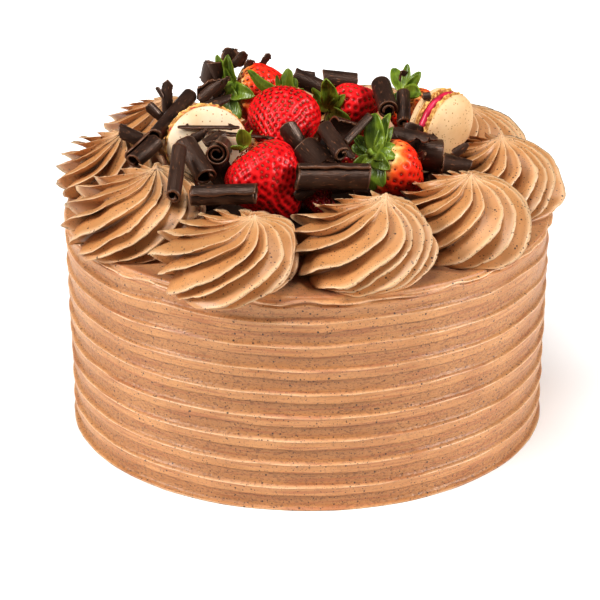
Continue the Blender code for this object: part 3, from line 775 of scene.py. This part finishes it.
def make_greens():
    """The sepals' material and the stalks'."""
    look = Look("sepal_green", 0.34, 0.5)
    side, share = look.attribute("side"), look.attribute("share")
    colour = look.patches(260.0, 3.0, (0.06, 0.105, 0.006), (0.2, 0.28, 0.022))
    for place, fade, tone in (
            (share, ((0.0, 0.8), (0.32, 0.0)), (0.46, 0.56, 0.08)),  # the pale base
            (side, ((0.72, 0.0), (1.0, 0.6)), (0.27, 0.36, 0.03)),  # the rim
            (side, ((0.0, 0.45), (0.14, 0.0)), (0.24, 0.34, 0.05))):  # the rib
        colour = look.mix(look.ramp(place, *fade), colour, tone)
    veins = look.node("TexWave", {"Vector": look.place(), "Scale": 260.0, "Distortion": 6.0}).outputs["Fac"]
    sepals = look.finish(colour, (veins, 0.22, 0.0003))
    look = Look("stalk_green", 0.45)
    return sepals, look.finish(look.patches(400.0, 2.0, (0.2, 0.31, 0.03), (0.36, 0.46, 0.08)))


# Macarons.

# Middle, axis out of the front shell, and radius.
MACARONS = {
    "macaron_left": ((-41.6, -0.4, 116), (0.165, -0.97, 0.176), 17.2),
    "macaron_right": ((55.2, 5.5, 123.1), (0.75, -0.63, -0.15), 15.0),
}
SHELL_HEIGHT = 7.6
SHELL_COLUMNS = 180
DOME_ROWS, CREASE_ROWS, RUFFLE_ROWS = 30, 2, 11
FOOT_SHARE = 0.34  # of the shell's height
FILLING_HALF = 1.2
FILLING_SQUEEZE = 0.25  # how far it reaches into each shell's foot
SHELL_GAP = 0.3
FILLING_COLUMNS = 120
# The filling's edge, as shares of the radius and of its half height.
FILLING_EDGE = ((0.5, 1), (0.93, 1), (0.965, 0.5), (0.975, 0), (0.965, -0.5), (0.93, -1), (0.5, -1))
BAKED_SPECK_TONE = (0.36, 0.17, 0.06)
FOOT_TONE_AND_PIT_SHADE = ((0.12, (0.92, 0.58, 0.2)), (0.75, (0.38, 0.15, 0.03)))  # from its golden bubbles to its pits, which are darkened as painted shade
SHELL_TONES = {
    "macaron_left": ((0.8, 0.58, 0.36), (0.94, 0.79, 0.6)),
    "macaron_right": ((0.7, 0.45, 0.23), (0.84, 0.62, 0.38)),
}


def shell_outline(radius):
    """Radius and height from the top's middle down over the dome, the crease and the ruffled foot."""
    foot = FOOT_SHARE * SHELL_HEIGHT
    tilt = np.linspace(0.02, np.pi / 2, DOME_ROWS)
    rise = foot + (SHELL_HEIGHT - foot) * np.cos(tilt) ** 0.8
    dome = np.stack([0.975 * radius * np.sin(tilt) ** 0.86, rise], -1)
    side = [(0.965 * radius, foot - 0.25), (0.94 * radius, foot - 0.45)]
    ruffle = [(radius * (0.955 + 0.045 * math.sin(math.pi * share)), (foot - 0.6) * (1 - share))
              for share in np.linspace(0.1, 1, RUFFLE_ROWS)]
    return np.vstack([dome, side, ruffle, [(0.8 * radius, 0.0), (0.4 * radius, 0.0)]])


def make_shell(name, number, middle, axis, radius, material, node):
    outline = shell_outline(radius)
    points = polar_points(outline[:, :1], circle(SHELL_COLUMNS), outline[:, 1:])
    ruffled = np.zeros((len(outline), 1))
    ruffled[DOME_ROWS + CREASE_ROWS:-1] = 1
    home = points + number * 37.0
    bubbles = noise(home / 0.95, 60) * 0.55 + noise(home / 0.5, 61) * 0.25
    wavy = (0.22 * noise(home / 6, 62) + 0.05 * noise(home / 1.4, 63)) * (1 - ruffled)
    points = points + unit(points * (1, 1, 0)) * (ruffled * bubbles + wavy)[..., None]
    points[..., 2] += 0.35 * wavy
    flat, faces = closed_grid(points, points[0].mean(0), (0, 0, 0), flip=True)
    # The pit numbers mark the foot's hollows, which are painted with shade.
    add_piece(name, put(flat, middle, frame_along(axis)), faces, material, "shell", [node],
              foot=ruffled + 0 * bubbles, pit=clamp(0.5 - bubbles) * ruffled)


def make_filling(name, middle, axis, radius, material, node):
    half = FILLING_HALF + FILLING_SQUEEZE
    edge = np.array(FILLING_EDGE)
    around = circle(FILLING_COLUMNS)
    wobble = 0.35 * noise(polar_points(4, around, radius), 64)
    rings = polar_points(edge[:, :1] * radius + wobble, around, edge[:, 1:] * half)
    points, faces = closed_grid(rings, (0, 0, half), (0, 0, -half), flip=True)
    add_piece(name, put(points, middle, frame_along(axis)), faces, material, "filling", [node])


def make_baked_shell(name, low, high):
    """Baked almond shell with tan specks and a golden, bubbly foot."""
    look = Look(name, 0.62, 0.3)
    colour = look.patches(70.0, 3.0, low, high)
    colour = look.mix(look.times(look.speckles(1.3, 0.24, 0.55), 0.8), colour, BAKED_SPECK_TONE)
    # The foot is golden, with its pits darkened as painted shade.
    colour = look.mix(look.attribute("foot"), colour, look.ramp(look.attribute("pit"), *FOOT_TONE_AND_PIT_SHADE))
    return look.finish(colour, (look.noise(1800.0), 0.25, 0.0002), Subsurface_Weight=0.12,
                       Subsurface_Radius=(1.0, 0.7, 0.4), Subsurface_Scale=0.001)


def make_macarons():
    look = Look("berry_filling", 0.35)
    pink = look.finish(look.patches(220.0, 2.0, (0.55, 0.014, 0.06), (0.72, 0.045, 0.12)))
    for number, (name, (middle, axis, radius)) in enumerate(MACARONS.items()):
        outward = frame_along(axis)[:, 2]
        material = make_baked_shell(f"shell_of_{name}", *SHELL_TONES[name])
        make_filling(f"cream_of_{name}", middle, axis, radius, pink, f"{name}_filling")
        for side, word in ((1, "front"), (-1, "back")):
            base = np.array(middle) + outward * side * (FILLING_HALF + SHELL_GAP)
            make_shell(f"{word}_shell_of_{name}", 2 * number + (side > 0), base, outward * side, radius,
                       material, f"{name}_{word}_shell")


# Chocolate.

CHOCOLATE_TONES = ((0.022, 0.009, 0.005), (0.062, 0.029, 0.018))
FLECK_TONE = (0.23, 0.095, 0.045)
EDGE_TONE = (0.2, 0.085, 0.04)
SHEET_THICKNESS = 0.9
SHEET_PITCH = 1.6
TELESCOPE = 1.8  # how far the inner turn of a roll slides out of it
CURL_ROWS = 26
CURL_DENSITY = 30  # columns in one full turn
# The ends of its line in mm, its radius (and the radius at the far end), the turns, the side that it faces,
# how ragged its ends are in mm, and how pointed its far end is.
CHOCOLATE = {
    "roll_long_left": ((-50.2, 29.5, 128.2), (-63.2, -4, 121.2), 4.1, 1.3, BACK, 0.5, 0),
    "roll_open_left": ((-62, -6.5, 120.5), (-70.5, -19, 116), 4.6, 1.4, (-1, 0, 1), 0.4, 0),
    "shard_upright": ((-58.7, 22.5, 137.3), (-58.7, 20.8, 119), 4, 0.2, FRONT, 1, 0),
    "shard_left": ((-66.5, 15, 129), (-60, 15, 122), 2.4, 0.45, (-0.5, -0.5, 1), 0.8, 0.2),
    "curl_arch_left": ((-77.5, -3, 124.5), (-67.5, -3, 119.5), 3.6, 0.45, (0, -0.5, 1), 0.7, 0),
    "shard_dark_left": ((-46.5, 30, 126), (-35, 33, 131.5), 5.5, 0.35, (0, 1, -0.4), 1.2, 0.3),
    "curl_cone_top": ((-37, 38, 130), (-39.5, 38, 140.5), (3, 4.4), 0.55, (-0.6, -1, 0), 0.4, 0),
    "flake_top": ((-29.5, 43.5, 136), (-33, 43.5, 143.5), (3.4, 4.6), 0.42, (0, 1, 0.3), 0.15, 0.5),
    "stick_upper": ((-53, -9, 127.2), (-27.5, -9.5, 127.2), 2, 0.2, (0, -0.3, 1), 0.4, 0),
    "stick_lower": ((-38.5, -9, 125), (-13, -11, 123), 2, 0.2, (0, -0.3, 1), 0.9, 0.5),
    "roll_end_on": ((-36.5, -30, 122.5), (-35.5, -17, 120.5), 5.5, 2.2, UP, 0.35, 0),
    "roll_middle_left": ((-49.5, -22, 124.5), (-40.5, -38, 115.5), 5, 1.3, BACK, 0.6, 0),
    "roll_brown": ((-51, -37, 127.5), (-52.5, -58, 115), 3.7, 1.2, BACK, 0.5, 0),
    "roll_low_front": ((-20, -53, 114), (-45.5, -54, 113.5), 4.8, 1.25, (0, -1, 0.35), 0.5, 0),
    "flake_matte": ((-9, -20, 132.5), (-2, -22, 121.5), 4.4, 0.35, (0.2, -1, 0.3), 0.3, 0),
    "cone_plate": ((-2.5, -28.5, 126.4), (6, -32.5, 118.6), (6.4, 8), 0.4, (0.3, -1, 0.5), 0.3, 0),
    "roll_leaning": ((6.5, -20, 130.2), (13.5, -36, 124.2), 3.7, 1.2, (1, 0, 0.5), 0.3, 0),
    "flake_dark_open": ((9, -4, 126.5), (20.5, -4, 122.5), 6, 0.5, (0, 1, 0.4), 0.12, 0),
    "roll_thin_right": ((15, -24, 125), (25.5, -14, 133), 2.5, 1, BACK, 0.4, 0),
    "roll_big_front": ((-4.5, -42, 117), (24, -42, 117), 6, -1.5, (0, -0.5, 1), 0.2, 0),
    "roll_tall_right": ((30.4, 22, 135.2), (33, 6, 129.2), 4.7, 1.6, (1, 0, -0.5), 0.15, 0),
    "roll_right": ((39.6, 17.5, 133), (39.4, 4, 124), 3.4, 1, (1, 0, -0.5), 0.3, 0),
    "roll_back": ((-6, 33, 135.5), (6.5, 29, 130.5), 4.4, 1.3, BACK, 0.4, 0),
    "curl_back": ((6.5, 35, 134), (21.5, 34.7, 132.3), 4.7, 0.7, (0, -0.3, 1), 0.4, 0),
    "plate_right": ((34.5, -9, 125.5), (52.5, -18, 124.5), 5, 0.27, (0, -0.5, 1), 0.25, 0.6),
    "curl_dark_right": ((45, -10, 116), (55, -13, 115.5), 6.9, 0.5, (0, -1, 0.3), 0.2, 0),
    "cone_right": ((54.5, -15.5, 113.8), (66.5, -15.5, 112.8), (5.2, 2.4), 0.6, (0, -0.8, 0.8), 0.4, 0),
}
# Flakes and splinters that are smaller than the named curls, with some dark sheets that stand in gaps of the
# heap as painted shade.
BITS_AND_SHADE_SHEETS = (
    ((-44.5, 7, 130.4), (-31.5, 14, 132.6), 2.2, 0.45, (0, -0.4, 1), 0.9, 0.3),
    ((-46.3, 26, 126.4), (-35, 28, 136), 3.4, 0.3, (-0.5, -1, 0.2), 0.9, 0.8),
    ((-40.5, 29, 128.5), (-32.6, 33, 135.5), 3, 0.28, (0.3, -1, 0.3), 0.8, 0.8),
    ((-21.5, 43, 135.6), (-15.6, 44, 142.2), 2.6, 0.2, (0.3, -1, 0.2), 0, 0),
    ((-2.4, 38, 134.6), (3.4, 38, 133.6), 2.2, 1.1, UP, 0.3, 0),
    ((47, -0.5, 136.9), (50.4, -0.5, 137.3), 2, 1, UP, 0.4, 0),
    ((58.8, -16.5, 117.6), (65.2, -15.5, 122.2), 2.2, 0.35, (0, -1, 0.4), 0.6, 0.5),
    ((40.9, 32, 131), (40.9, 32, 138.6), 2.4, 0.4, FRONT, 0.4, 0.6),
    ((-63.2, 22, 134.2), (-60.5, 21, 129.8), 1, 0.4, FRONT, 0.3, 0.3),
    ((-47.8, -13.5, 122.6), (-39.6, -12.5, 127), 2.6, 0.32, (-0.2, -1, 0.3), 0.7, 0.8),
    ((10.6, -22, 129), (18.8, -30, 120.2), 2.6, 0.35, (0.8, -1, 0.3), 0.9, 0.2),
    ((-32.5, 41, 137.5), (-34, 41, 145.8), 4.6, 0.34, (-0.3, 1, 0.4), 0.1, 0.5),
    ((-30.2, 39.5, 138), (-26.8, 39.5, 144.5), 3.2, 0.36, (0.2, -1, 0.2), 0.1, 0.5),
    ((-25.5, 39, 136), (-24, 39, 141), 2.6, 0.34, (0.6, -1, 0), 0.4, 0.5),
    ((41.5, -12, 113), (47.5, -20, 119.5), 3.6, 0.3, (1, -0.6, 0.2), 0.9, 0.5),
    ((29.5, -8, 120), (38, -4, 124.5), 3, 0.4, (-0.3, -0.6, 1), 0.8, 0.4),
    # A dark sheet behind a gap, standing in for painted shade there.
    ((41.5, -7, 116.5), (45, -5, 128), 6.6, 0.34, FRONT, 0.5, 0.2),
    ((-41.5, -20, 123.2), (-33, -12, 125.6), 3.2, 0.36, (-0.2, -1, 0.6), 0.7, 0.5),
    # Two dark flakes in a dark gap at the front, partly chocolate and partly painted shade.
    ((-6, -39, 109), (3.5, -38, 111.5), 3.4, 0.4, (0, -1, 0.8), 0.7, 0.4),
    ((9, -36, 108), (18.5, -38, 109.5), 3.8, 0.42, (0.2, -1, 0.9), 0.7, 0.3),
    ((-34, -44, 111), (-26, -48, 109), 3, 0.38, (0.2, -1, 0.8), 0.7, 0.5),
    # Two dark sheets in front of the left macaron's shaded side, standing in for painted shade.
    ((-38.5, -23, 117), (-31, -25, 106), 5.6, 0.44, FRONT, 0.8, 0.2),
    ((-36.5, -18.6, 114.5), (-35.5, -18.8, 125.5), 5, 0.4, FRONT, 0.5, 0.3),
    ((-42.5, 40, 130.5), (-40.5, 40, 141), 5.2, 0.36, (-0.5, -1, 0), 0.4, 0.3),
)
# Loose flakes that fill the gaps of the heap, in mm.
FLAKE_COUNT = 84
FLAKE_ROWS = 12
FLAKE_REACH = 50.0
FLAKE_LENGTH = (5.0, 11.0)
FLAKE_RADIUS = (2.0, 3.6)
FLAKE_LIFT = 1.6
ROLLED_SHARE = 0.2
ROLLED_TURNS = 1.2
FLAKE_TURNS = (0.28, 0.5)
FLAKE_CHIPS = 0.7
BITS_FROM, FLAKES_FROM = 100, 200  # their numbers, which pick their noise


def flake_specs():
    """Flakes and short rolls that lie on the mound, clear of the strawberries and macarons."""
    rng = np.random.default_rng(FLAKE_SEED)
    taken = [(spec[0], spec[3] / 2 + 1.0) for spec in STRAWBERRIES.values()]
    taken += [(middle, radius) for middle, _, radius in MACARONS.values()]
    specs = []
    while len(specs) < FLAKE_COUNT:
        reach, spin = FLAKE_REACH * math.sqrt(rng.uniform()), rng.uniform(0, 2 * math.pi)
        lift = FLAKE_LIFT * rng.uniform(0.5, 1.8)
        middle = Vector((reach * math.cos(spin), reach * math.sin(spin), mound_level(reach) + lift))
        if any((middle - Vector(centre)).length < room for centre, room in taken):
            continue
        spin = rng.uniform(0, 2 * math.pi)
        half = Vector((math.cos(spin), math.sin(spin), rng.uniform(-0.2, 0.3)))
        half = half * rng.uniform(*FLAKE_LENGTH) / 2
        rolled = rng.uniform() < ROLLED_SHARE
        facing = (rng.uniform(-0.7, 0.7), rng.uniform(-0.7, 0.7), 1)
        radius = FLAKE_RADIUS[0] if rolled else rng.uniform(*FLAKE_RADIUS)
        turns, point = (ROLLED_TURNS, 0) if rolled else (rng.uniform(*FLAKE_TURNS), rng.uniform(0, 0.6))
        specs.append((middle - half, middle + half, radius, turns, facing, FLAKE_CHIPS, point))
    return specs


def curl_mesh(number, spec, rows):
    """A curled sheet with chipped ends along a line: points, faces, and the numbers for its material."""
    start, end, radii, turns, facing, ragged, point = spec
    start, end, radii = Vector(start), Vector(end), np.atleast_1d(radii)
    hand = 1 if turns > 0 else -1
    turns = abs(turns)
    is_roll = turns >= 1
    columns = max(9, round(CURL_DENSITY * turns))
    along, around = np.meshgrid(np.linspace(0, 1, rows), np.linspace(0, 1, columns), indexing="ij")
    length = (end - start).length
    home = np.stack([along * length / 5, around * turns * 3, np.full_like(along, number * 5.7)], -1)
    full = (radii[0] + (radii[-1] - radii[0]) * along) * (1 + 0.03 * noise(home * 0.6, 70))
    slip = 0.018 * noise(home * (1.3, 0, 1), 71) + 0.008 * noise(home * (7, 0, 1), 77)
    slip = slip * np.abs(2 * around - 1) ** 4 / max(turns, 0.5)
    # A roll winds in on itself and its inner turns slide out; an open flake is rounded off towards its ends.
    if is_roll:
        angle = 2 * np.pi * (turns * around + slip)
        inward, depth, rounding = SHEET_PITCH * turns * around, 0.0, 0.0
        slide = TELESCOPE * np.clip(around * turns - 0.8, 0, 0.6)
    else:
        angle = 2 * np.pi * (turns * (around - 0.5) * (1 - point * along**2) + slip)
        inward, depth, slide = 0.0, (1 + math.cos(math.pi * turns)) / 2, 0.0
        rounding = 0.16 * length * np.abs(2 * around - 1) ** 2.5
    out = (full - inward) * np.cos(angle) - full * depth
    side = hand * (full - inward) * np.sin(angle)
    arc = 2 * np.pi * radii[0] * turns * around
    chips = np.stack([arc / 1.7, np.zeros_like(arc), np.full_like(arc, number * 3.1)], -1)
    place = along * length
    for near, seed, way in ((1 - along, 72, 1), (along, 73, -1)):
        bite = ragged * (0.5 * noise(chips, seed) + 0.35 * noise(chips * 2.6, seed + 4) - 0.25)
        place = place + way * clamp((near - 0.6) / 0.4) ** 2 * (rounding - bite)
    slant = 0.12 * radii[0] * np.cos(angle + number)
    local = np.stack([out, side, place + slide + slant], -1)
    points = put(local.reshape(-1, 3), start, frame_along(end - start, facing))
    faces = [face[::-hand] for face in grid_faces(rows, columns, False)]
    border = np.minimum(np.minimum(along * length, (1 - along) * length), np.minimum(arc, arc[:, -1:] - arc))
    return points, faces, {"arc": arc + number * 40.0, "along": along * length, "edge": np.exp(-border / 0.4)}


def make_curls(name, curls, material, nodes=(), rows=CURL_ROWS):
    """One piece of one or more curls."""
    points, faces, numbers = joined([curl_mesh(number, spec, rows) for number, spec in curls])
    thicken(add_piece(name, points, faces, material, "chocolate", nodes, **numbers), SHEET_THICKNESS, 1)


def make_chocolates(material):
    for number, (name, spec) in enumerate(CHOCOLATE.items()):
        make_curls("chocolate_" + name, [(number, spec)], material, [name])
    make_curls("chocolate_bits_and_shade_sheets", enumerate(BITS_AND_SHADE_SHEETS, BITS_FROM), material)
    make_curls("chocolate_flakes", enumerate(flake_specs(), FLAKES_FROM), material, rows=FLAKE_ROWS)


def make_chocolate_skin():
    look = Look("curled_chocolate", 0.36, 0.7)
    arc, along = look.attribute("arc"), look.attribute("along")
    sheet = look.node("CombineXYZ", {"X": arc, "Y": look.times(along, 0.28)}).outputs[0]
    flecks = look.noise(1.25, 3.0, where=sheet)
    colour = look.patches(120.0, 3.0, *CHOCOLATE_TONES)
    colour = look.mix(look.ramp(flecks, (0.61, 0.0), (0.69, 0.9)), colour, FLECK_TONE)
    # Lighter towards the sheets' edges.
    colour = look.mix(look.ramp(look.attribute("edge"), (0.25, 0.0), (0.9, 0.65)), colour, EDGE_TONE)
    lines = look.node("CombineXYZ", {"X": look.times(arc, 2.2), "Y": look.times(along, 0.12)}).outputs[0]
    height = look.plus(look.times(flecks, 0.6), look.noise(1.0, 3.0, where=lines))
    return look.finish(colour, (height, 0.4, 0.0004), Specular_Tint=(1.0, 0.78, 0.66))


# Stage: camera, lights and floor.

FLOOR_HALF = 3000
FLOOR_DROP = 0.2
FLOOR_GREY, FLOOR_GLOW = 0.86, 0.2
WORLD_STRENGTH = 0.16
LAMPS = (  # name, where it stands as seen from the cake, strength, and width in degrees
    ("top", (-0.15, -0.25, 1.0), 1.6, 25),
    ("left", (-0.93, -0.32, 0.52), 2.7, 20),
    ("right", (0.94, -0.3, 0.5), 2.8, 20),
)


def look_at(thing, target):
    thing.rotation_euler = (Vector(target) - thing.location).to_track_quat("-Z", "Y").to_euler()


def make_camera():
    camera = add_object("camera", bpy.data.cameras.new("camera"))
    camera.data.lens = CAMERA_LENS
    camera.data.sensor_width = SENSOR_WIDTH
    camera.data.clip_start = 0.01
    target = Vector(CAMERA_TARGET) * MM
    away = Vector((0, -math.cos(CAMERA_ELEVATION), math.sin(CAMERA_ELEVATION)))
    camera.location = target + away * CAMERA_DISTANCE * MM
    look_at(camera, target)
    bpy.context.scene.camera = camera


def make_lamp(name, towards, strength, spread):
    lamp = add_object(name, bpy.data.lights.new(name, "SUN"))
    lamp.data.energy = strength
    lamp.data.angle = math.radians(spread)
    lamp.location = towards
    look_at(lamp, (0, 0, 0))


def make_floor():
    corners = np.array([(-1, -1, 0), (1, -1, 0), (1, 1, 0), (-1, 1, 0)]) * FLOOR_HALF * MM
    mesh = bpy.data.meshes.new("floor")
    mesh.from_pydata(corners.tolist(), [], [(0, 1, 2, 3)])
    look = Look("pale_floor", 0.7, 0.2)
    paint = look.finish((FLOOR_GREY,) * 3, Emission_Color=(1, 1, 1), Emission_Strength=FLOOR_GLOW)
    mesh.materials.append(paint)
    floor = add_object("floor", mesh)
    floor.location.z = -FLOOR_DROP * MM


def make_world():
    world = bpy.data.worlds.new("studio")
    bpy.context.scene.world = world
    world.use_nodes = True
    background = world.node_tree.nodes["Background"]
    background.inputs["Color"].default_value = (1, 1, 1, 1)
    background.inputs["Strength"].default_value = WORLD_STRENGTH
    bpy.context.scene.view_settings.view_transform = "Standard"
    bpy.context.scene.view_settings.gamma = VIEW_GAMMA


make_camera()
make_world()
make_floor()
for lamp in LAMPS:
    make_lamp(*lamp)

CREAM = make_cream("piped")
make_body(make_cream("combed"))
for number, spec in enumerate(ROSETTES, start=1):
    make_rosette(number, *spec, CREAM)
make_strawberries()
GREENS = make_greens()
for number, (name, spec) in enumerate(CALYXES.items()):
    make_calyx(name, number, spec, *GREENS)
make_macarons()
make_chocolates(make_chocolate_skin())
